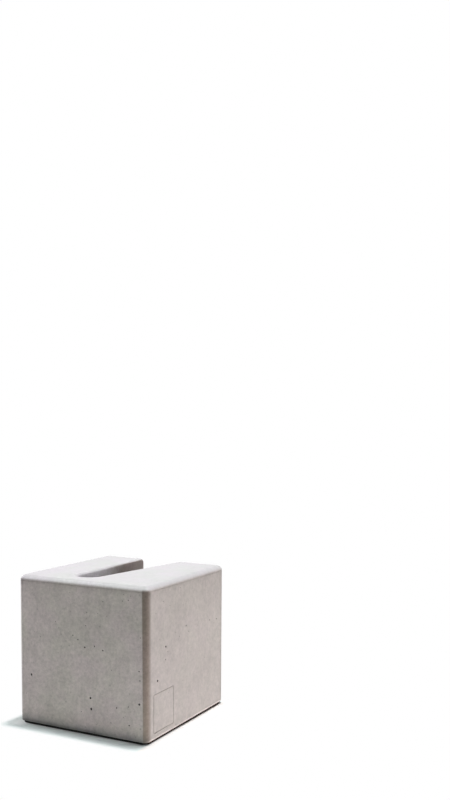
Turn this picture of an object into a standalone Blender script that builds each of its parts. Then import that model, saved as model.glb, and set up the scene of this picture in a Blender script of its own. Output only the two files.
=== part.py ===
"""Floor stand for a bicycle: a cast concrete block with one tapering wheel slot.

The block stands on a thin rubber mat. The wheel is rolled backwards into the slot,
which is open at the top and at the far face, until the tyre is held between its walls.
Metres, +Z up, origin at the middle of the base, +Y towards the slot's open end.
"""

import math

import bmesh
import bpy
from mathutils import Vector

# Concrete block
BLOCK_WIDTH = 0.203
BLOCK_LENGTH = 0.210
BLOCK_HEIGHT = 0.200
EDGE_RADIUS = 0.0075
EDGE_SEGMENTS = 8
BASE_ARRIS = 0.0012
ARRIS_SEGMENTS = 3

# Wheel slot: one wall runs along the block and the other spreads from it by the taper.
# The end depth is where the wheel's curve would meet the slot's upright end, unblended.
SLOT_MOUTH_WIDTH = 0.0638
SLOT_MOUTH_OFFSET = -0.0017
SLOT_TAPER = math.radians(9.2)
SLOT_BACK_WALL = 0.0262
SLOT_END_DEPTH = 0.045
SLOT_BLEND_RADIUS = 0.050
SLOT_FLOOR_RADIUS = 0.350
SLOT_SILL = 0.027
SLOT_EDGE_RADIUS = 0.0032
SLOT_EDGE_SEGMENTS = 5
SLOT_LINES = 28
BLEND_STATIONS = 6
FLOOR_STATIONS = 12

# Rubber mat glued under the block
MAT_THICKNESS = 0.0027
MAT_INSET = 0.0015
MAT_CORNER_RADIUS = 0.010
MAT_CORNER_SEGMENTS = 6
GLUE_LINE = 0.0003

# Room that a cutter keeps past the faces it cuts, the part of the mouth's width that the
# slot's cross lines keep off the far face, and the angle from which an edge is rounded
CUTTER_MARGIN = 0.020
CLEAR_STRIP = 0.3
EDGE_ANGLE = math.radians(32)

# Levels and faces that follow from the sizes above
BASE_Z = MAT_THICKNESS + GLUE_LINE
TOP_Z = BASE_Z + BLOCK_HEIGHT
NEAR_Y = -BLOCK_LENGTH / 2
FAR_Y = BLOCK_LENGTH / 2


def clear_scene():
    for obj in list(bpy.data.objects):
        bpy.data.objects.remove(obj, do_unlink=True)


def new_collection(name):
    collection = bpy.data.collections.new(name)
    bpy.context.scene.collection.children.link(collection)
    return collection


def principled(name, color, roughness, metallic=0.0):
    material = bpy.data.materials.new(name)
    material.use_nodes = True
    shader = material.node_tree.nodes["Principled BSDF"]
    shader.inputs["Base Color"].default_value = (*color, 1.0)
    shader.inputs["Roughness"].default_value = roughness
    shader.inputs["Metallic"].default_value = metallic
    return material


def mesh_object(name, bm, collection):
    mesh = bpy.data.meshes.new(name)
    bm.to_mesh(mesh)
    bm.free()
    obj = bpy.data.objects.new(name, mesh)
    collection.objects.link(obj)
    return obj


def box_object(name, low, high, collection):
    """Box between two corners, made from the cube primitive."""
    low, high = Vector(low), Vector(high)
    bm = bmesh.new()
    bmesh.ops.create_cube(bm, size=1.0)
    bmesh.ops.scale(bm, vec=high - low, verts=bm.verts)
    bmesh.ops.translate(bm, vec=(low + high) / 2, verts=bm.verts)
    return mesh_object(name, bm, collection)


def add_boolean(obj, name, cutter):
    modifier = obj.modifiers.new(name, "BOOLEAN")
    modifier.operation = "DIFFERENCE"
    modifier.solver = "EXACT"
    modifier.object = cutter
    cutter.hide_render = True
    cutter.display_type = "WIRE"


def add_bevel(obj, name, width, segments):
    modifier = obj.modifiers.new(name, "BEVEL")
    modifier.limit_method = "ANGLE"
    modifier.angle_limit = EDGE_ANGLE
    modifier.width = width
    modifier.segments = segments
    modifier.use_clamp_overlap = False


class Slot:
    """Shape of the wheel slot, drawn first as a line down its middle, in the YZ plane.

    The line drops straight down the closed end, turns through the blend radius and then
    follows the curve of a bicycle wheel out through the far face. A circle that touches
    both walls travels along it, so the slot has a round end and a gutter for a floor.
    """

    wall_x = SLOT_MOUTH_OFFSET - SLOT_MOUTH_WIDTH / 2
    tip_y = NEAR_Y + SLOT_BACK_WALL

    def __init__(self):
        """Find the centres of the wheel curve and of the blend inside it."""
        back_point = Vector((self.tip_y, TOP_Z - SLOT_END_DEPTH))
        sill_point = Vector((FAR_Y, BASE_Z + SLOT_SILL))
        chord = sill_point - back_point
        rise = math.sqrt(SLOT_FLOOR_RADIUS ** 2 - (chord.length / 2) ** 2)
        across = Vector((-chord.y, chord.x)).normalized()
        self.wheel = (back_point + sill_point) / 2 + across * rise

        blend_y = self.tip_y + SLOT_BLEND_RADIUS
        reach = SLOT_FLOOR_RADIUS - SLOT_BLEND_RADIUS
        drop = math.sqrt(reach ** 2 - (self.wheel.x - blend_y) ** 2)
        self.blend = Vector((blend_y, self.wheel.y - drop))

    def width(self, y):
        return SLOT_MOUTH_WIDTH - (FAR_Y - y) * math.tan(SLOT_TAPER)

    def stations(self):
        """Points along the middle line with the direction from each to its centre."""
        result = [(Vector((self.tip_y, TOP_Z + CUTTER_MARGIN)), Vector((1.0, 0.0)))]
        centres = self.wheel - self.blend
        turn = math.atan2(centres.y, centres.x)
        for i in range(BLEND_STATIONS):
            angle = turn * i / BLEND_STATIONS
            result.append(self.on_circle(self.blend, SLOT_BLEND_RADIUS, angle))
        last = self.floor_angle(FAR_Y - SLOT_MOUTH_WIDTH * CLEAR_STRIP)
        for i in range(FLOOR_STATIONS + 1):
            angle = turn + (last - turn) * i / FLOOR_STATIONS
            result.append(self.on_circle(self.wheel, SLOT_FLOOR_RADIUS, angle))
        angle = self.floor_angle(FAR_Y + CUTTER_MARGIN)
        result.append(self.on_circle(self.wheel, SLOT_FLOOR_RADIUS, angle))
        return result

    def floor_angle(self, y):
        return math.acos((self.wheel.x - y) / SLOT_FLOOR_RADIUS)

    def on_circle(self, centre, radius, angle):
        inward = Vector((math.cos(angle), math.sin(angle)))
        return centre - inward * radius, inward

    def section(self, tip, inward):
        """Round end of the slot at one station, from the left wall to the right."""
        lean = math.atan(math.tan(SLOT_TAPER) * inward.x)
        radius = self.width(tip.x) / (1 + 1 / math.cos(lean) - math.tan(lean))
        points = []
        for i in range(SLOT_LINES + 1):
            angle = math.pi + (math.pi - lean) * i / SLOT_LINES
            place = tip + inward * radius * (1 + math.sin(angle))
            points.append(Vector((self.wall_x + radius * (1 + math.cos(angle)), *place)))
        return points


def make_slot_cutter(collection):
    """Loft between the slot's sections, closed by the two walls and two end faces."""
    slot = Slot()
    stations = slot.stations()
    top_z = TOP_Z + CUTTER_MARGIN
    bm = bmesh.new()
    rings = []
    for tip, inward in stations:
        rings.append([bm.verts.new(point) for point in slot.section(tip, inward)])
    for ring, next_ring in zip(rings, rings[1:]):
        for i in range(SLOT_LINES):
            bm.faces.new((ring[i], ring[i + 1], next_ring[i + 1], next_ring[i]))

    tip, inward = stations[-1]
    end_y = tip.x + inward.x * (top_z - tip.y) / inward.y
    left_corner = bm.verts.new((slot.wall_x, end_y, top_z))
    right_corner = bm.verts.new((slot.wall_x + slot.width(end_y), end_y, top_z))
    bm.faces.new([ring[0] for ring in rings] + [left_corner])
    bm.faces.new([ring[-1] for ring in rings] + [right_corner])
    bm.faces.new(rings[0] + [right_corner, left_corner])
    bm.faces.new(rings[-1] + [right_corner, left_corner])
    bmesh.ops.recalc_face_normals(bm, faces=bm.faces)
    return mesh_object("slot_cutter", bm, collection)


def make_block(parts, cutters, material):
    """Block rounded all round, with the slot's own edges rounded less.

    It is made too deep and then trimmed flat at the base, like a struck casting.
    """
    half_width = BLOCK_WIDTH / 2
    rough_z = BASE_Z - CUTTER_MARGIN
    block = box_object("concrete_block", (-half_width, NEAR_Y, rough_z),
                       (half_width, FAR_Y, TOP_Z), parts)
    add_bevel(block, "rounded_edges", EDGE_RADIUS, EDGE_SEGMENTS)
    add_boolean(block, "wheel_slot", make_slot_cutter(cutters))
    add_bevel(block, "slot_edges", SLOT_EDGE_RADIUS, SLOT_EDGE_SEGMENTS)

    past_side = half_width + CUTTER_MARGIN
    past_end = FAR_Y + CUTTER_MARGIN
    trim = box_object("base_cutter", (-past_side, -past_end, rough_z - CUTTER_MARGIN),
                      (past_side, past_end, BASE_Z), cutters)
    add_boolean(block, "struck_base", trim)
    add_bevel(block, "base_arris", BASE_ARRIS, ARRIS_SEGMENTS)
    block.modifiers.new("flat_faces_shade_flat", "WEIGHTED_NORMAL")
    block.data.shade_smooth()
    block.data.materials.append(material)
    return block


def make_base_mat(parts, material):
    """Sheet cut a little smaller than the block, with round corners."""
    half_width = BLOCK_WIDTH / 2 - MAT_INSET
    half_length = BLOCK_LENGTH / 2 - MAT_INSET
    mat = box_object("rubber_base_mat", (-half_width, -half_length, 0.0),
                     (half_width, half_length, MAT_THICKNESS), parts)
    bm = bmesh.new()
    bm.from_mesh(mat.data)
    upright = [edge for edge in bm.edges if edge.verts[0].co.xy == edge.verts[1].co.xy]
    bmesh.ops.bevel(bm, geom=upright, offset=MAT_CORNER_RADIUS, affect="EDGES",
                    segments=MAT_CORNER_SEGMENTS, profile=0.5)
    bm.to_mesh(mat.data)
    bm.free()
    mat.data.materials.append(material)
    return mat


clear_scene()
stand = new_collection("floor_bike_stand")
cutter_collection = new_collection("cutters")
concrete = principled("cast_concrete", (0.50, 0.48, 0.45), 0.85)
rubber = principled("black_rubber", (0.018, 0.018, 0.019), 0.75)
make_block(stand, cutter_collection, concrete)
make_base_mat(stand, rubber)
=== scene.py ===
"""Floor bike stand of cast concrete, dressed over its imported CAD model.

Metres, +Z up, the floor at zero and +Y towards the slot's open end.
"""

import math

import bmesh
import bpy
from mathutils import Euler, Matrix, Vector
from mathutils.bvhtree import BVHTree


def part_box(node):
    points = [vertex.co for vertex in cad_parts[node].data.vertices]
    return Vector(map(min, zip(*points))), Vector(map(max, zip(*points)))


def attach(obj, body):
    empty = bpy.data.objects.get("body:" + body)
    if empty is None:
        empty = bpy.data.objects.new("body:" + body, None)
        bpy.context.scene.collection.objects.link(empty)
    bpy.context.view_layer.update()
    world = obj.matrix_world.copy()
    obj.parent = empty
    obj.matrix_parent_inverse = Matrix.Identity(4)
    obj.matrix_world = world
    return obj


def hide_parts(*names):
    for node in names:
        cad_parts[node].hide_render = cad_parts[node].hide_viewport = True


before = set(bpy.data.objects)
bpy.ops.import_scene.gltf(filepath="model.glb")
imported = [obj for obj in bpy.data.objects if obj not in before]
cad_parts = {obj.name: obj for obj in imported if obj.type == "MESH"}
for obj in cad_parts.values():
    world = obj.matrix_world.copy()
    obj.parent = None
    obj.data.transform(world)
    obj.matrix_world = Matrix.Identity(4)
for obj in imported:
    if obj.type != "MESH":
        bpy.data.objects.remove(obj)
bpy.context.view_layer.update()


# Concrete block
# One casting of light grey cement in a smooth mould, about 17 kg. The shape with its slot
# and rounded edges comes from the CAD solid, merged so that its faces are whole again.

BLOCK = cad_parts["concrete_block"]
BLOCK_LOW, BLOCK_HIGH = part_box("concrete_block")
MERGE_DISTANCE = 0.00001
FLAT_ENOUGH = math.radians(0.4)


def link(obj):
    bpy.context.scene.collection.objects.link(obj)
    return obj


def mesh_from(bm, name):
    mesh = bpy.data.meshes.new(name)
    bm.to_mesh(mesh)
    bm.free()
    return mesh


def merged_copy(node, name):
    bm = bmesh.new()
    bm.from_mesh(node.data)
    bmesh.ops.remove_doubles(bm, verts=bm.verts, dist=MERGE_DISTANCE)
    bmesh.ops.dissolve_limit(bm, angle_limit=FLAT_ENOUGH, verts=bm.verts, edges=bm.edges)
    return link(bpy.data.objects.new(name, mesh_from(bm, name)))


block = merged_copy(BLOCK, "cast_concrete_block")


# Joints of the mould
# The mould's panels meet its corner strips and its base plate along fine joints. Cement
# that ran into them was rubbed off and left a hairline on both sides of each upright edge
# and one round the block under the top edge.

EDGE_RADIUS = 0.0075
SEAM_RADIUS = 0.00035
SEAM_GAP = 0.0006
CORNER_POINTS = 8


def finished_mesh(obj, name):
    """Plain mesh of an object with its modifiers applied."""
    bpy.context.view_layer.update()
    evaluated = obj.evaluated_get(bpy.context.evaluated_depsgraph_get())
    mesh = bpy.data.meshes.new_from_object(evaluated)
    mesh.name = name
    return mesh


def drop(*objects):
    for obj in objects:
        bpy.data.objects.remove(obj, do_unlink=True)


def cut(obj, tool):
    """Cut the tool's shape out of the object and throw the tool away."""
    modifier = obj.modifiers.new("cut", "BOOLEAN")
    modifier.operation = "DIFFERENCE"
    modifier.solver = "EXACT"
    modifier.object = tool
    mesh = finished_mesh(obj, obj.name)
    obj.modifiers.clear()
    obj.data = mesh
    drop(tool)


def bent_bar(name, paths, radius, closed):
    """Round bars along the paths, as a closed mesh to cut with."""
    curve = bpy.data.curves.new(name, "CURVE")
    curve.dimensions = "3D"
    curve.bevel_depth = radius
    curve.bevel_resolution = 1
    curve.use_fill_caps = not closed
    for path in paths:
        spline = curve.splines.new("POLY")
        spline.points.add(len(path) - 1)
        for point, place in zip(spline.points, path):
            point.co = (*place, 1.0)
        spline.use_cyclic_u = closed
    bar = link(bpy.data.objects.new(name, curve))
    bm = bmesh.new()
    bm.from_mesh(finished_mesh(bar, name))
    drop(bar)
    bmesh.ops.remove_doubles(bm, verts=bm.verts, dist=MERGE_DISTANCE)
    bmesh.ops.recalc_face_normals(bm, faces=bm.faces)
    return link(bpy.data.objects.new(name + "_tool", mesh_from(bm, name)))


def rounded_outline(half_x, half_y, radius, steps):
    """Points of a rectangle with round corners about the origin."""
    points = []
    for turn, (side_x, side_y) in enumerate(((1, 1), (-1, 1), (-1, -1), (1, -1))):
        for step in range(steps + 1):
            angle = (turn + step / steps) * math.pi / 2
            points.append((side_x * (half_x - radius) + radius * math.cos(angle),
                           side_y * (half_y - radius) + radius * math.sin(angle)))
    return points


def upright_seams():
    """Both sides of the four rounded edges, from below the base to the top joint."""
    top = BLOCK_HIGH.z - EDGE_RADIUS - SEAM_GAP
    feet = []
    for side_x in (-1, 1):
        for side_y in (-1, 1):
            x, y = side_x * BLOCK_HIGH.x, side_y * BLOCK_HIGH.y
            feet.append((x, y - side_y * EDGE_RADIUS))
            feet.append((x - side_x * EDGE_RADIUS, y))
    paths = [((x, y, BLOCK_LOW.z - SEAM_GAP), (x, y, top)) for x, y in feet]
    return bent_bar("upright_seams", paths, SEAM_RADIUS, closed=False)


def top_seam():
    """All round the block, where the top edge's rounding meets the upright faces."""
    outline = rounded_outline(BLOCK_HIGH.x, BLOCK_HIGH.y, EDGE_RADIUS, CORNER_POINTS)
    path = [(x, y, BLOCK_HIGH.z - EDGE_RADIUS) for x, y in outline]
    return bent_bar("top_seam", [path], SEAM_RADIUS, closed=True)


cut(block, upright_seams())
cut(block, top_seam())


# Air pores in the concrete
# Bubbles that stayed against the mould leave round holes, most of them under a millimetre
# across. The larger ones are where the photo shows them and the rest are scattered.

# Scattered pores: distance apart, number on a square metre and radii
PORE_SPACING = 0.0040
PORE_DENSITY = 4500.0
SMALLEST_PORE = 0.00025
LARGEST_PORE = 0.00088
PORE_SIZE_POWER = 6.0
PORE_SEED = 7
BUBBLE_SEGMENTS = 9
BUBBLE_RINGS = 5
LEAST_SQUEEZE = 0.8
MOST_SQUEEZE = 1.2
UPRIGHT_ENOUGH = 0.3

# How deep a bubble's middle lies under the face, as a part of its radius
PORE_DEPTH = 0.55

# Larger pores that the photo shows: X and height on the near face, Y and height on the
# right face, and the diameter, all in millimetres
NEAR_PORES = (
    (-80.8, 68.6, 3.9), (15.6, 50, 3.7), (16.5, 35.6, 4.3), (90.2, 52.6, 3.5), (75, 23, 2.6),
    (-4, 125, 2.3), (7, 116, 2.6), (22, 119, 2.0), (35, 115, 2.2), (-12, 130, 2.2),
    (56, 43, 2.2), (91, 83, 2.0), (90, 95, 2.2), (92, 138, 1.8), (74, 184, 1.7),
    (67, 191, 1.6), (48, 91, 1.6), (74, 47, 1.7), (47, 22, 1.7), (-65, 122, 1.6),
    (10, 162, 1.6), (-40, 145, 1.5),
)
RIGHT_PORES = (
    (-58.4, 118, 3.4), (-79, 77.8, 4.2), (-5.2, 135, 2.9), (-23, 124, 2.0), (62, 130, 2.0),
    (-59, 101, 2.2), (83, 128, 2.3), (2, 126, 2.0), (-34, 132, 1.5),
)
PER_METRE = 1000

# Larger pores are slightly flattened balls, each turned on from the one before it
PORE_SHAPE = (1.0, 0.82, 1.12)
PORE_TURNS = (1.3, 0.7, 2.1)
PORE_SUBDIVISIONS = 3


class Signal:
    """Output of a node, on which arithmetic adds Math nodes to the same tree."""

    def __init__(self, tree, socket=None):
        self.tree = tree
        self.socket = socket

    def node(self, kind, settings=None, inputs=None, output=0):
        """Add a node with its settings, then give its inputs values or links."""
        node = self.tree.nodes.new(kind)
        for key, value in (settings or {}).items():
            setattr(node, key, value)
        self.feed(node, inputs or {})
        return Signal(self.tree, node.outputs[output]) if node.outputs else None

    def feed(self, node, inputs):
        """Give inputs of a node in this tree their values or links."""
        for key, value in inputs.items():
            if isinstance(value, Signal):
                self.tree.links.new(value.socket, node.inputs[key])
            else:
                node.inputs[key].default_value = value

    def also(self, output):
        """Another output of the same node."""
        return Signal(self.tree, self.socket.node.outputs[output])

    def math(self, operation, *values):
        return self.node("ShaderNodeMath", {"operation": operation}, dict(enumerate(values)))

    def __add__(self, other):
        return self.math("ADD", self, other)

    __radd__ = __add__

    def __sub__(self, other):
        return self.math("SUBTRACT", self, other)

    def __rsub__(self, other):
        return self.math("SUBTRACT", other, self)

    def __mul__(self, other):
        return self.math("MULTIPLY", self, other)

    __rmul__ = __mul__

    def __pow__(self, other):
        return self.math("POWER", self, other)


def scaled(vector, factor):
    """Vector or colour times a single value."""
    return vector.node("ShaderNodeVectorMath", {"operation": "SCALE"}, {
        0: vector, "Scale": factor})


def pore_tree():
    """Scatter rough bubbles over a surface, each sunk so that its mouth narrows."""
    tree = bpy.data.node_groups.new("air_pores", "GeometryNodeTree")
    interface = tree.interface
    interface.new_socket("Surface", in_out="INPUT", socket_type="NodeSocketGeometry")
    for name in ("Spacing", "Density", "Smallest", "Largest", "Size Power", "Depth"):
        interface.new_socket(name, in_out="INPUT", socket_type="NodeSocketFloat")
    interface.new_socket("Seed", in_out="INPUT", socket_type="NodeSocketInt")
    interface.new_socket("Pores", in_out="OUTPUT", socket_type="NodeSocketGeometry")
    root = Signal(tree)
    entry = root.node("NodeGroupInput").socket.node
    given = {socket.name: Signal(tree, socket) for socket in entry.outputs if socket.name}

    points = root.node("GeometryNodeDistributePointsOnFaces", {
        "distribute_method": "POISSON"}, {
        "Mesh": given["Surface"], "Distance Min": given["Spacing"],
        "Density Max": given["Density"], "Seed": given["Seed"]})
    chance = root.node("FunctionNodeRandomValue", {"data_type": "FLOAT"},
                       {"Seed": given["Seed"] + 1}, output=1)
    radius = given["Smallest"] + (given["Largest"] - given["Smallest"]) * (
        chance ** given["Size Power"])
    sink = scaled(points.also("Normal"), radius * given["Depth"] * -1.0)
    sunk = root.node("GeometryNodeSetPosition", None, {"Geometry": points, "Offset": sink})
    spin = root.node("FunctionNodeRandomValue", {"data_type": "FLOAT_VECTOR"}, {
        "Min": (0.0,) * 3, "Max": (math.tau,) * 3, "Seed": given["Seed"] + 2})
    squeeze = root.node("FunctionNodeRandomValue", {"data_type": "FLOAT_VECTOR"}, {
        "Min": (LEAST_SQUEEZE,) * 3, "Max": (MOST_SQUEEZE,) * 3, "Seed": given["Seed"] + 3})
    bubble = root.node("GeometryNodeMeshUVSphere", None, {
        "Radius": 1.0, "Segments": BUBBLE_SEGMENTS, "Rings": BUBBLE_RINGS})
    placed = root.node("GeometryNodeInstanceOnPoints", None, {
        "Points": sunk, "Instance": bubble, "Rotation": spin,
        "Scale": scaled(squeeze, radius)})
    real = root.node("GeometryNodeRealizeInstances", None, {"Geometry": placed})
    done = root.node("GeometryNodeSetMaterial", None, {"Geometry": real})
    root.node("NodeGroupOutput", None, {"Pores": done})
    return tree


def scattered_pores(surface):
    """Bubbles over the faces that stood upright in the mould, where air clings."""
    bm = bmesh.new()
    bm.from_mesh(surface.data)
    level = [face for face in bm.faces if abs(face.normal.z) > UPRIGHT_ENOUGH]
    bmesh.ops.delete(bm, geom=level, context="FACES")
    tool = link(bpy.data.objects.new("pore_tool", mesh_from(bm, "pore_tool")))
    values = {"Spacing": PORE_SPACING, "Density": PORE_DENSITY, "Smallest": SMALLEST_PORE,
              "Largest": LARGEST_PORE, "Size Power": PORE_SIZE_POWER,
              "Depth": PORE_DEPTH, "Seed": PORE_SEED}
    modifier = tool.modifiers.new("pores", "NODES")
    modifier.node_group = pore_tree()
    for item in modifier.node_group.interface.items_tree:
        if item.in_out == "INPUT" and item.name in values:
            modifier[item.identifier] = values[item.name]
    mesh = finished_mesh(tool, "pore_tool")
    tool.modifiers.clear()
    tool.data = mesh
    return tool


def seen_pores():
    """Bubbles at the places that the photo shows on the two faces in view."""
    bubbles = [(Vector((x / PER_METRE, BLOCK_LOW.y, z / PER_METRE)),
                Vector((0, -1, 0)), size) for x, z, size in NEAR_PORES]
    bubbles += [(Vector((BLOCK_HIGH.x, y / PER_METRE, z / PER_METRE)),
                 Vector((1, 0, 0)), size) for y, z, size in RIGHT_PORES]
    shape = Matrix.Diagonal((*PORE_SHAPE, 1.0))
    bm = bmesh.new()
    for number, (place, outward, size) in enumerate(bubbles):
        radius = size / 2 / PER_METRE
        turn = Euler([number * turn for turn in PORE_TURNS]).to_matrix().to_4x4()
        move = Matrix.Translation(place - outward * radius * PORE_DEPTH)
        bmesh.ops.create_icosphere(bm, subdivisions=PORE_SUBDIVISIONS, radius=radius,
                                   matrix=move @ turn @ shape)
    return link(bpy.data.objects.new("seen_pore_tool", mesh_from(bm, "seen_pore_tool")))


skin = merged_copy(BLOCK, "unpitted_skin")
cut(block, seen_pores())
cut(block, scattered_pores(skin))


# Bare square on the right face
# The mould has a small square plate let into it, whose edge prints a fine groove low on
# the right face. The plate is plain, so its middle is as smooth as the face round it.

PLATE_SIZE = 0.0500
PLATE_Y = -0.0635
PLATE_Z = 0.0363
PLATE_CORNER = 0.0012
GROOVE_RADIUS = 0.0007
SLIVER = 0.000002


def plate_groove():
    """Round bar bent to a square, half sunk in the right face."""
    half = PLATE_SIZE / 2
    square = rounded_outline(half, half, PLATE_CORNER, CORNER_POINTS // 2)
    path = [(BLOCK_HIGH.x, PLATE_Y + across, PLATE_Z + up) for across, up in square]
    return bent_bar("plate_groove", [path], GROOVE_RADIUS, closed=True)


def without_slivers(obj):
    """Weld up the hair-thin faces that the cuts left, then make flat faces whole again."""
    bm = bmesh.new()
    bm.from_mesh(obj.data)
    bmesh.ops.triangulate(bm, faces=bm.faces)
    bmesh.ops.remove_doubles(bm, verts=bm.verts, dist=SLIVER)
    bmesh.ops.dissolve_degenerate(bm, edges=bm.edges, dist=SLIVER)
    bmesh.ops.dissolve_limit(bm, angle_limit=FLAT_ENOUGH, verts=bm.verts, edges=bm.edges)
    bm.to_mesh(obj.data)
    bm.free()


cut(block, plate_groove())
without_slivers(block)


# Surface of the concrete
# Bare cement skin, matt and slightly dusty: cloudy grey with greenish and pinkish drifts,
# fine mottling and small dark specks. The base plate of the mould left a calmer top and its
# corner strips darker edges. Painted light and shade are laid into the colour as well: a
# cooler, darker top and a lighter right face, painted highlights on the top edge and the right
# face's foot, painted shade in the pores, under the top edge, on the corner strips and at the
# near face's foot, and in the slot painted light at the closed end and painted shadow towards
# its mouth.

SHARP_ANGLE = math.radians(38)
PLAIN = (1.0, 1.0, 1.0)
CONCRETE = (0.544, 0.483, 0.464)

# Where the near face, the right face, the slot and the top begin and end: along Y, along
# X, out from the middle to the sides and to the ends, and down from the top
NEAR_FACE = (BLOCK_LOW.y + 0.003, BLOCK_LOW.y + 0.008)
RIGHT_FACE = (BLOCK_HIGH.x - 0.004, BLOCK_HIGH.x - 0.001)
SLOT_SIDES = (0.045, 0.047)
SLOT_ENDS = (0.100, 0.104)
SLOT_LIP = (0.0008, 0.0024)
TOP_EDGE = (EDGE_RADIUS * 0.45, EDGE_RADIUS)

# Clouds, blots, mottling, upright streaks and grain: the scale of each, how far it sways
# the tone and how high it stands
NOISE_MIDDLE = 0.5
CLOUD_SCALE = 8.0
CLOUD_SHIFT = (-0.42, 2.44, -1.21)
CLOUD_TONE = 0.36
BLOT_SCALE = 60.0
BLOT_TONE = 0.25
BLOT_HEIGHT = 0.00010
MOTTLE_SCALE = 210.0
MOTTLE_TONE = 0.50
MOTTLE_HEIGHT = 0.00012
STREAK_SCALE = 40.0
STREAK_STRETCH = (9.0, 9.0, 0.5)
STREAK_TONE = 0.07
STREAK_HEIGHT = 0.00004
GRAIN_SCALE = 900.0
GRAIN_HEIGHT = 0.00005
RELIEF = 0.6
NEAR_ROUGHER = 0.6
TOP_CALMER = 0.6
TOP_SMOOTHER = 0.5
DULLNESS = 0.82
DULLNESS_SWAY = 0.2

# Small dark specks, and the pores, darker the deeper they are: their dirt and painted shade
SPECK_SCALE = 130.0
SPECK_EDGE = (0.10, 0.22)
SPECK_CHANCE = (0.55, 0.95)
SPECK_DARKNESS = 0.22
SPECK_DEPTH = 0.00015
PIT_DEPTHS = (0.0001, 0.0012)
PIT_DIRT_AND_SHADE = 0.75

# Painted highlight on the top edge's rounding and painted shade in the band below it, as drops
# from the top
LIP_FULL = 0.0034
LIP_GONE = 0.0060
TOP_EDGE_PAINTED_HIGHLIGHT = 0.40
LIP_OFF_NEAR_FACE = 0.1
JOINT_START = (0.0046, 0.0058)
UNDER_EDGE_PAINTED_SHADE = 0.09
UNDER_EDGE_SHADE_FOOT = 0.0170
RAGGEDNESS = 0.006

# Painted highlight along the right face's foot and a darker patch at the near face's
# upper left corner
ARRIS_HEIGHTS = (0.00182, 0.00338)
ARRIS_PAINTED_HIGHLIGHT = 0.45
DARK_PATCH_X = -0.0985
DARK_PATCH_Z = 0.1935
DARK_PATCH_EDGE = (0.001, 0.008)
DARK_PATCH_DARKNESS = 0.4

# Drifts of hue, weaker on the right face, and painted light: a lighter, warmer tint on
# the right face and a cooler, darker one on the top
GREENISH = (0.974, 1.003, 0.955)
PINKISH = (1.022, 0.995, 1.012)
DRIFT_SCALE = 18.0
DRIFT_RANGE = (0.34, 0.66)
RIGHT_CALMER = 0.6
RIGHT_FACE_PAINTED_LIGHT = (1.064, 1.039, 1.040)
TOP_PAINTED_LIGHT_TINT = (0.822, 0.909, 0.981)

# Corner strips, partly their own darker tone and partly painted shade: a little narrower
# towards the foot, brown up the near right edge, else grey
GREY_STRIP_AND_SHADE = (0.82, 0.83, 0.85)
BROWN_STRIP_AND_SHADE = (0.88, 0.78, 0.70)
STRIP_SHADE_AT_FOOT = 0.74
STRIP_SHADE_AT_TOP = 0.48
STRIP_NARROWING = 0.006
STRIP_EDGE = (-0.0006, 0.0012)
STRIP_SIDE = (-0.0050, 0.0050)
NEAR_RIGHT_CORNER = (0.15, 0.18)

# Foot of the near face: a painted shade line, weaker towards the right, and painted shade
# above it
FOOT_LINE = (BLOCK_LOW.z + 0.0010, BLOCK_LOW.z + 0.0060)
FOOT_LINE_PAINTED_SHADE = 0.35
FOOT_LINE_WEAKER = 0.7
FOOT_LINE_RIGHT = (0.0, 0.07)
FOOT_PAINTED_SHADE = (0.68, 0.72, 0.75)
FOOT_SHADE_HEIGHT = 0.018

# Walls of the slot: painted light at the closed end and painted shadow from the middle to the
# mouth
CLOSED_END_PAINTED_LIGHT = (1.20, 1.31, 1.43)
MOUTH_PAINTED_SHADOW = (0.45, 0.42, 0.41)
MOUTH_SHADOW_START = (-0.02, 0.05)
MOUTH_SHADOW_RAGGEDNESS = 0.05


def new_material(name):
    """Material with its shader and the place on the piece."""
    material = bpy.data.materials.new(name)
    material.use_nodes = True
    tree = material.node_tree
    place = Signal(tree).node("ShaderNodeTexCoord", output="Object")
    return material, tree.nodes["Principled BSDF"], place


def axes_of(place):
    """X, Y and Z of a place."""
    x = place.node("ShaderNodeSeparateXYZ", None, {"Vector": place}, output="X")
    return x, x.also("Y"), x.also("Z")


def length(first, second):
    """Length of a way that goes so far along one axis and so far along another."""
    return first.math("SQRT", first * first + second * second)


def noise(place, scale, detail=2.0, roughness=0.55, stretch=(1.0, 1.0, 1.0),
          shift=(0.0, 0.0, 0.0)):
    """Smooth noise from 0 to 1 whose features are about 1/scale metres across."""
    moved = place.node("ShaderNodeMapping", None, {
        "Vector": place, "Scale": stretch, "Location": shift})
    return place.node("ShaderNodeTexNoise", None, {
        "Vector": moved, "Scale": scale, "Detail": detail, "Roughness": roughness})


def sway(pattern, amount):
    """Swing of a noise to both sides of its middle, as wide as the amount."""
    return (pattern - NOISE_MIDDLE) * amount


def spread(signal, low, high, to_low=0.0, to_high=1.0, shape="SMOOTHSTEP"):
    """Stretch a range of the signal to another range, held at both ends."""
    return signal.node("ShaderNodeMapRange", {"interpolation_type": shape}, {
        "Value": signal, "From Min": low, "From Max": high,
        "To Min": to_low, "To Max": to_high})


def blend(factor, first, second):
    """Colour between the first and the second, by the factor.

    A Mix node takes its colours at its sockets 6 and 7 and gives the result at 2.
    """
    first, second = (color if isinstance(color, Signal) else (*color, 1.0)
                     for color in (first, second))
    return factor.node("ShaderNodeMix", {"data_type": "RGBA"},
                       {0: factor, 6: first, 7: second}, output=2)


def product(color, other):
    return color.node("ShaderNodeVectorMath", {"operation": "MULTIPLY"}, {0: color, 1: other})


def tinted(color, mask, tint):
    """Colour times the tint where the mask is one."""
    return product(color, blend(mask, PLAIN, tint))


def bumpy(height, strength):
    """Normal of a surface with heights in metres."""
    return height.node("ShaderNodeBump", None, {
        "Strength": strength, "Distance": 1.0, "Height": height})


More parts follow.
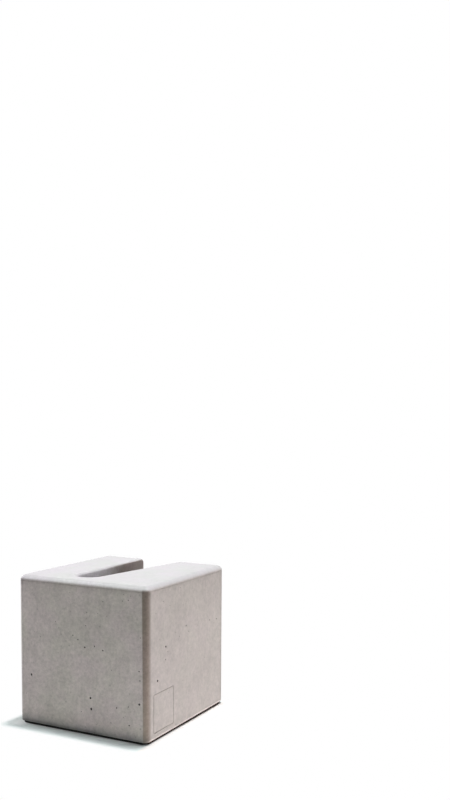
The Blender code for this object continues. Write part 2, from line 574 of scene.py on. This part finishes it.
def store_depth(obj, surface):
    """Give each point its depth below the unpitted skin, which sets the pores' dirt and
    painted shade.
    """
    bm = bmesh.new()
    bm.from_mesh(surface.data)
    nearest = BVHTree.FromBMesh(bm)
    bm.free()
    depth = obj.data.attributes.new("pit_depth", "FLOAT", "POINT")
    for point, value in zip(obj.data.vertices, depth.data):
        value.value = nearest.find_nearest(point.co)[3]


def dark_specks(place):
    """One in the middle of some cells of a random pattern."""
    cells = place.node("ShaderNodeTexVoronoi", None, {"Vector": place, "Scale": SPECK_SCALE})
    chance = place.node("ShaderNodeSeparateColor", None, {"Color": cells.also("Color")})
    return (1.0 - spread(cells, *SPECK_EDGE)) * spread(chance, *SPECK_CHANCE)


def strip_tint_and_shade(x, y, z):
    """Grey, but brown and darker with height up the near right edge, partly as painted shade.
    """
    near_right = spread(x - y, *NEAR_RIGHT_CORNER)
    fade = spread(z, BLOCK_LOW.z, BLOCK_HIGH.z, STRIP_SHADE_AT_FOOT, STRIP_SHADE_AT_TOP, "LINEAR")
    return blend(near_right, GREY_STRIP_AND_SHADE, scaled(blend(near_right, PLAIN, BROWN_STRIP_AND_SHADE), fade))


def concrete_material():
    material, shader, place = new_material("cast_concrete")
    x, y, z = axes_of(place)
    across = x.math("ABSOLUTE", x)
    along = y.math("ABSOLUTE", y)
    below_top = BLOCK_HIGH.z - z

    # Masks of the faces, the slot and the top, from zero to one
    near = 1.0 - spread(y, *NEAR_FACE)
    right = spread(x, *RIGHT_FACE)
    inside = (1.0 - spread(across, *SLOT_SIDES)) * (
        1.0 - spread(along, *SLOT_ENDS)) * spread(below_top, *SLOT_LIP)
    outside = 1.0 - inside
    top = (1.0 - spread(below_top, *TOP_EDGE)) * outside

    # Cloudy and mottled tone, with specks, and dirt and painted shade in the pores
    clouds = noise(place, CLOUD_SCALE, shift=CLOUD_SHIFT)
    blots = noise(place, BLOT_SCALE)
    mottle = noise(place, MOTTLE_SCALE, detail=3.0, roughness=0.75)
    streaks = noise(place, STREAK_SCALE, detail=3.0, stretch=STREAK_STRETCH)
    rough = 1.0 + near * NEAR_ROUGHER
    calm = 1.0 - top * TOP_CALMER
    tone = 1.0 + calm * (sway(clouds, -CLOUD_TONE) + sway(blots, BLOT_TONE) * rough
                         + sway(mottle, MOTTLE_TONE) * rough + sway(streaks, STREAK_TONE))
    speck = dark_specks(place)
    tone = tone * (1.0 - speck * calm * SPECK_DARKNESS)
    pit = place.node("ShaderNodeAttribute", {"attribute_name": "pit_depth"}, output="Fac")
    tone = tone * (1.0 - spread(pit, *PIT_DEPTHS) * PIT_DIRT_AND_SHADE)

    # Painted highlight on the top edge and painted shade below it, painted highlight on the
    # right face's foot, and a darker patch at the near face's upper left corner
    ragged = sway(blots, RAGGEDNESS)
    painted_edge_highlight = spread(below_top, 0.0, LIP_FULL) * (
        1.0 - spread(below_top, LIP_FULL, LIP_GONE)) * outside
    # Painted shade in a band under the top edge's rounding
    painted_shade_under_edge = spread(below_top, *JOINT_START) * (
        1.0 - spread(below_top + ragged, EDGE_RADIUS, UNDER_EDGE_SHADE_FOOT)) * outside
    painted_arris_highlight = right * (1.0 - spread(z - BLOCK_LOW.z, *ARRIS_HEIGHTS))
    # Darker patch at the near face's upper left corner
    dark_patch = near * (1.0 - spread(length(x - DARK_PATCH_X, z - DARK_PATCH_Z), *DARK_PATCH_EDGE))
    tone = tone * (1.0 + painted_edge_highlight * (LIP_OFF_NEAR_FACE + near * (1.0 - LIP_OFF_NEAR_FACE))
                   * TOP_EDGE_PAINTED_HIGHLIGHT)
    tone = tone * (1.0 - painted_shade_under_edge * UNDER_EDGE_PAINTED_SHADE)
    tone = tone * (1.0 + painted_arris_highlight * ARRIS_PAINTED_HIGHLIGHT)
    tone = tone * (1.0 - dark_patch * DARK_PATCH_DARKNESS)

    # Hue of the cement, and painted light on the right face and on the top
    drift = spread(noise(place, DRIFT_SCALE, detail=5.0, roughness=0.7), *DRIFT_RANGE)
    drift = NOISE_MIDDLE + sway(drift, 1.0 - right * RIGHT_CALMER)
    color = scaled(product(blend(drift, GREENISH, PINKISH), CONCRETE), tone)
    color = tinted(color, right, RIGHT_FACE_PAINTED_LIGHT)
    color = tinted(color, top, TOP_PAINTED_LIGHT_TINT)

    # Corner strips with painted shade, painted shade at the near face's foot, and painted
    # light and shadow on the slot's walls
    past_side = across - below_top * STRIP_NARROWING - (BLOCK_HIGH.x - EDGE_RADIUS)
    past_end = along - (BLOCK_HIGH.y - EDGE_RADIUS)
    corner = spread(past_side, *STRIP_EDGE) * (1.0 - top) * spread(past_end, *STRIP_SIDE)
    color = tinted(color, corner, strip_tint_and_shade(x, y, z))
    painted_foot_line = near * (1.0 - spread(z, *FOOT_LINE))
    weaker = spread(x, *FOOT_LINE_RIGHT) * FOOT_LINE_WEAKER
    color = scaled(color, 1.0 - painted_foot_line * (1.0 - weaker) * FOOT_LINE_PAINTED_SHADE)
    painted_foot_shade = near * (1.0 - spread(z + ragged, BLOCK_LOW.z, FOOT_SHADE_HEIGHT))
    color = tinted(color, painted_foot_shade, FOOT_PAINTED_SHADE)
    painted_mouth_shadow = spread(y + sway(blots, MOUTH_SHADOW_RAGGEDNESS), *MOUTH_SHADOW_START)
    color = tinted(color, inside, blend(painted_mouth_shadow, CLOSED_END_PAINTED_LIGHT, MOUTH_PAINTED_SHADOW))

    grain = noise(place, GRAIN_SCALE)
    height = (grain * GRAIN_HEIGHT + mottle * MOTTLE_HEIGHT + blots * BLOT_HEIGHT
              - speck * SPECK_DEPTH + streaks * STREAK_HEIGHT) * (1.0 - top * TOP_SMOOTHER)
    place.feed(shader, {
        "Base Color": color, "Roughness": DULLNESS + sway(blots, DULLNESS_SWAY),
        "Normal": bumpy(height, RELIEF)})
    return material


def shade(obj, material):
    """Smooth shading with crisp edges, flat faces kept flat, and one material."""
    obj.data.materials.clear()
    obj.data.materials.append(material)
    obj.data.shade_smooth()
    obj.data.set_sharp_from_angle(angle=SHARP_ANGLE)
    modifier = obj.modifiers.new("flat_faces_shade_flat", "WEIGHTED_NORMAL")
    modifier.keep_sharp = True


store_depth(block, skin)
drop(skin)
shade(block, concrete_material())
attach(block, "root")
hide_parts("concrete_block")


# Base mat
# A sheet of black rubber granules, cut a little smaller than the block and glued under it
# so that it doesn't slide or scratch the floor. Its right side is browned by a painted
# reflection.

MAT_EDGE = 0.0003
MAT_EDGE_ANGLE = math.radians(60)
MAT_RIGHT_SIDE = (BLOCK_HIGH.x - 0.0030, BLOCK_HIGH.x - 0.0020)
DARKER_RUBBER = (0.013, 0.014, 0.013)
LIGHTER_RUBBER = (0.034, 0.037, 0.034)
RIGHT_SIDE_PAINTED_REFLECTION = (0.95, 0.25, 0.08)
RUBBER_SCALE = 350.0
RUBBER_DULLNESS = 0.7
RUBBER_DULLNESS_SWAY = 0.3
RUBBER_SHINE = 0.1
GRANULE_SCALE = 700.0
GRANULE_HEIGHT = -0.0003
GRANULE_RELIEF = 0.7

mat = merged_copy(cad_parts["rubber_base_mat"], "rubber_granule_mat")
soft_edge = mat.modifiers.new("cut_edge", "BEVEL")
soft_edge.limit_method = "ANGLE"
soft_edge.angle_limit = MAT_EDGE_ANGLE
soft_edge.width = MAT_EDGE
soft_edge.segments = 2


def rubber_material():
    material, shader, place = new_material("rubber_granules")
    x = axes_of(place)[0]
    patches = noise(place, RUBBER_SCALE)
    right = spread(x, *MAT_RIGHT_SIDE)
    granules = place.node("ShaderNodeTexVoronoi", None, {
        "Vector": place, "Scale": GRANULE_SCALE})
    # Painted reflection browns the right side
    place.feed(shader, {
        "Base Color": tinted(blend(patches, DARKER_RUBBER, LIGHTER_RUBBER), right, RIGHT_SIDE_PAINTED_REFLECTION),
        "Specular IOR Level": RUBBER_SHINE,
        "Roughness": RUBBER_DULLNESS + sway(patches, RUBBER_DULLNESS_SWAY),
        "Normal": bumpy(granules * GRANULE_HEIGHT, GRANULE_RELIEF)})
    return material


shade(mat, rubber_material())
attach(mat, "root")
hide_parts("rubber_base_mat")


# Studio
# A white floor and surround, two lights straight above, a low one behind on the right and
# a low one on the left. Most of the light on the upright faces comes off the floor.

WHITE = (1.0, 1.0, 1.0, 1.0)

# Floor just under the mat, its colour for the light that it throws back, and the colours
# that its shadow takes in the picture
FLOOR_SIZE = 12.0
FLOOR_DROP = -0.0002
FLOOR_COLOR = (0.855, 0.900, 0.897)
FLOOR_DULLNESS = 0.9
FLOOR_SHINE = 0.2
SHADOW_COLOR = (0.808, 0.900, 0.897)
RIGHT_SHADOW_COLOR = (0.912, 0.888, 0.868)
RIGHT_SHADOW_START = (BLOCK_HIGH.x - 0.004, BLOCK_HIGH.x)

# Where the shadow fades to white, beyond the block's outline grown and moved by so much
SHADOW_FADE = (0.003, 0.016)
SHADOW_MOVE = (-0.004, -0.008)
SHADOW_GROWTH = 0.004

# Paler shadow along the foot, by the near left corner and by the near end of the right side
FOOT_LIGHT = 0.10
FOOT_LIGHT_REACH = 0.007
FOOT_LIGHT_END = (BLOCK_HIGH.x - 0.020, BLOCK_HIGH.x)
CORNER_LIGHT = 0.25
CORNER_LIGHT_FADE = (0.004, 0.018)
RIGHT_LIGHT = 0.35
RIGHT_LIGHT_REACH = 0.008
RIGHT_LIGHT_END = (-0.06, 0.02)

# Each lamp's name, place, width and power in watts
LAMPS = (
    ("wide_top_light", (0.09, 0.07, 2.0), 0.4, 40.0),
    ("small_top_light", (0.15, 0.15, 2.0), 0.2, 11.0),
    ("right_light", (1.71, 0.98, 0.45), 0.6, 11.0),
    ("left_light", (-1.97, 0.0, 0.45), 0.8, 27.0),
)


def seen_rays(root):
    """One for a ray that shows the white surround: the camera's, off gloss or in glass."""
    rays = root.node("ShaderNodeLightPath")
    seen = 0.0
    for kind in ("Is Camera Ray", "Is Glossy Ray", "Is Transmission Ray"):
        seen = root.math("MAXIMUM", seen, rays.also(kind))
    return seen


def from_outline(x, y, growth=0.0):
    """Distance on the floor from the block's outline, grown on all sides."""
    past_x, past_y = (
        side.math("MAXIMUM", side.math("ABSOLUTE", side) - (reach + growth), 0.0)
        for side, reach in ((x, BLOCK_HIGH.x), (y, BLOCK_HIGH.y)))
    return length(past_x, past_y)


def floor_material():
    """White in the picture but for the shadow at the block's foot."""
    material, shader, place = new_material("white_floor")
    x, y, _ = axes_of(place)
    seen = seen_rays(place)
    on_right = spread(x, *RIGHT_SHADOW_START)
    shadow = blend(on_right, SHADOW_COLOR, RIGHT_SHADOW_COLOR)
    place.feed(shader, {
        "Base Color": blend(seen, FLOOR_COLOR, shadow), "Roughness": FLOOR_DULLNESS,
        "Specular IOR Level": FLOOR_SHINE})

    from_shadow = from_outline(x - SHADOW_MOVE[0], y - SHADOW_MOVE[1], SHADOW_GROWTH)
    from_foot = from_outline(x, y)
    from_corner = length(x + BLOCK_HIGH.x, y + BLOCK_HIGH.y)
    at_foot = spread(from_foot, 0.0, FOOT_LIGHT_REACH, FOOT_LIGHT, 0.0) * (
        1.0 - spread(x, *FOOT_LIGHT_END))
    at_corner = spread(from_corner, *CORNER_LIGHT_FADE, CORNER_LIGHT, 0.0)
    at_right = spread(from_foot, 0.0, RIGHT_LIGHT_REACH, RIGHT_LIGHT, 0.0) * on_right * (
        1.0 - spread(y, *RIGHT_LIGHT_END))
    fade = (spread(from_shadow, *SHADOW_FADE) + at_foot + at_corner + at_right) * seen
    white = place.node("ShaderNodeEmission", None, {"Color": WHITE, "Strength": 1.0})
    mixed = place.node("ShaderNodeMixShader", None, {
        0: fade, 1: Signal(place.tree, shader.outputs[0]), 2: white})
    place.feed(place.tree.nodes["Material Output"], {"Surface": mixed})
    return material


def studio_floor():
    bm = bmesh.new()
    bmesh.ops.create_grid(bm, x_segments=1, y_segments=1, size=FLOOR_SIZE / 2)
    floor = link(bpy.data.objects.new("studio_floor", mesh_from(bm, "studio_floor")))
    floor.location.z = FLOOR_DROP
    floor.data.materials.append(floor_material())
    return floor


def surround():
    """White to the camera, to gloss and to glass, and dark to everything else."""
    world = bpy.data.worlds.new("studio")
    bpy.context.scene.world = world
    world.use_nodes = True
    nodes = world.node_tree.nodes
    dark = nodes["Background"]
    dark.inputs["Strength"].default_value = 0.0
    root = Signal(world.node_tree)
    white = root.node("ShaderNodeBackground", None, {"Color": WHITE, "Strength": 1.0})
    mixed = root.node("ShaderNodeMixShader", None, {
        0: seen_rays(root), 1: Signal(root.tree, dark.outputs[0]), 2: white})
    root.feed(nodes["World Output"], {"Surface": mixed})


def softbox(name, place, width, power):
    """Square light that the camera doesn't see, turned to the middle of the block."""
    data = bpy.data.lights.new(name, "AREA")
    data.shape = "SQUARE"
    data.size = width
    data.energy = power
    lamp = link(bpy.data.objects.new(name, data))
    lamp.location = place
    aim = Vector((0.0, 0.0, BLOCK_HIGH.z / 2)) - lamp.location
    lamp.rotation_euler = aim.to_track_quat("-Z", "Y").to_euler()
    lamp.visible_camera = False


studio_floor()
surround()
for lamp_values in LAMPS:
    softbox(*lamp_values)


# Camera
# Fitted to the block's edges in the photo: a little above the top of the block, looking
# at its near right corner.

CAMERA_PLACE = (0.6947, -1.0595, 0.4055)
CAMERA_TURN = math.radians(26.937)
CAMERA_TILT = math.radians(-4.400)
CAMERA_ROLL = math.radians(0.372)
CAMERA_LENS = 40.925
CAMERA_SENSOR = 36.0
CAMERA_SHIFT = 0.1184
NEAREST_SEEN = 0.05
FARTHEST_SEEN = 50.0

camera_data = bpy.data.cameras.new("camera")
camera_data.lens = CAMERA_LENS
camera_data.sensor_width = CAMERA_SENSOR
camera_data.shift_y = CAMERA_SHIFT
camera_data.clip_start = NEAREST_SEEN
camera_data.clip_end = FARTHEST_SEEN
camera = link(bpy.data.objects.new("camera", camera_data))
turned = Euler((math.pi / 2 + CAMERA_TILT, 0.0, CAMERA_TURN), "XYZ").to_matrix()
rolled = turned @ Matrix.Rotation(CAMERA_ROLL, 3, "Z")
camera.matrix_world = Matrix.Translation(CAMERA_PLACE) @ rolled.to_4x4()
bpy.context.scene.camera = camera

view_settings = bpy.context.scene.view_settings
view_settings.view_transform = "Standard"
